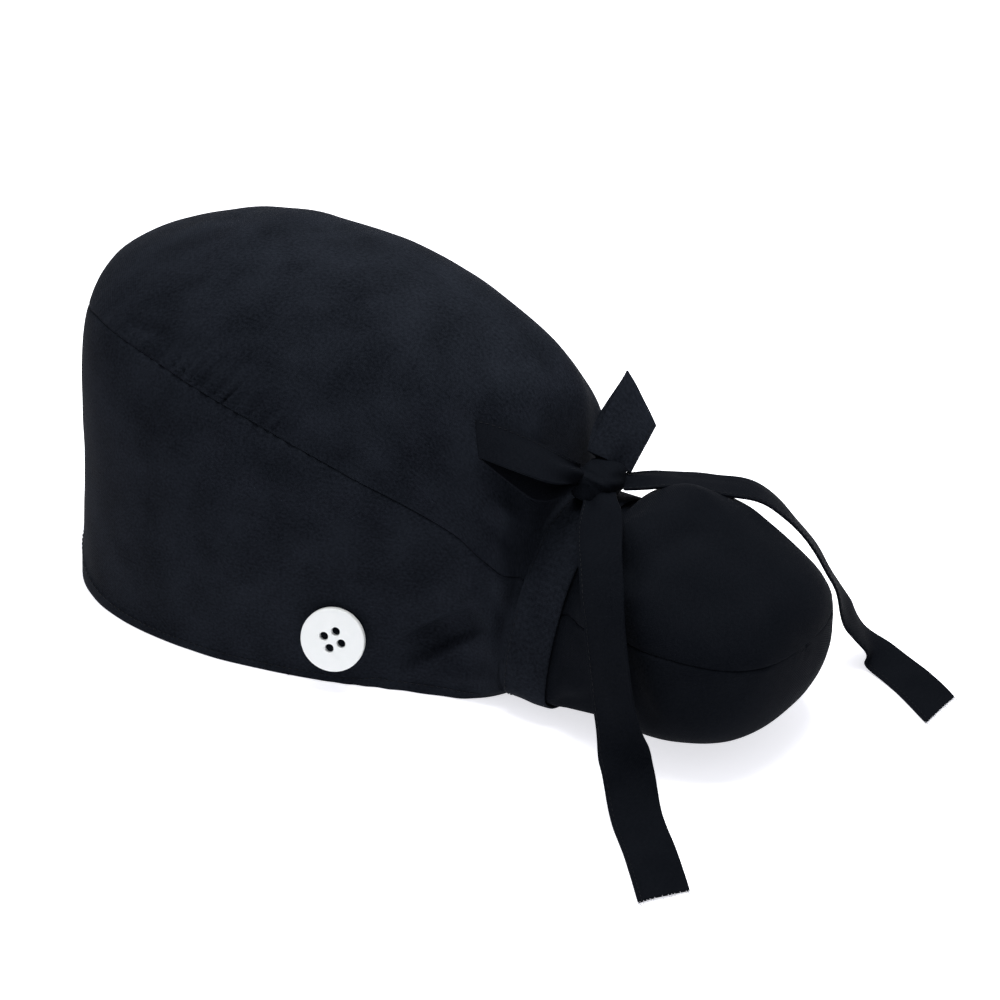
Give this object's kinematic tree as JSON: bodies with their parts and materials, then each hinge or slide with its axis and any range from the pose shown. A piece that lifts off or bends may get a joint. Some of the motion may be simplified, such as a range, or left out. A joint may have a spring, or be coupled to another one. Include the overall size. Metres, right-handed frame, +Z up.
{
  "type": "scrub cap",
  "caption": "Fabric scrub cap with a ponytail pouch, tied at the neck in a bow, with side buttons for mask loops.",
  "frame": {"origin": "centre of the bounding box's footprint, on the surface that the rim rests on", "axes": "+X from the forehead towards the pouch, +Y towards the wearer's right side, +Z up"},
  "size_m": [0.3546, 0.199, 0.154],
  "materials": {
    "cloth": "plain-weave cotton blend, near-black navy, matt with a soft sheen",
    "button_plastic": "smooth white resin, satin gloss"
  },
  "bodies": {
    "root": {"crown_panel": "cloth", "side_band": "cloth", "pouch_upper": "cloth", "pouch_lower": "cloth", "neck_strap": "cloth", "knot": "cloth", "bow_loop_left": "cloth", "bow_loop_right": "cloth", "tie_tail_near": "cloth", "tie_tail_far": "cloth", "button_left": "button_plastic", "button_right": "button_plastic"}
  },
  "joints": []
}
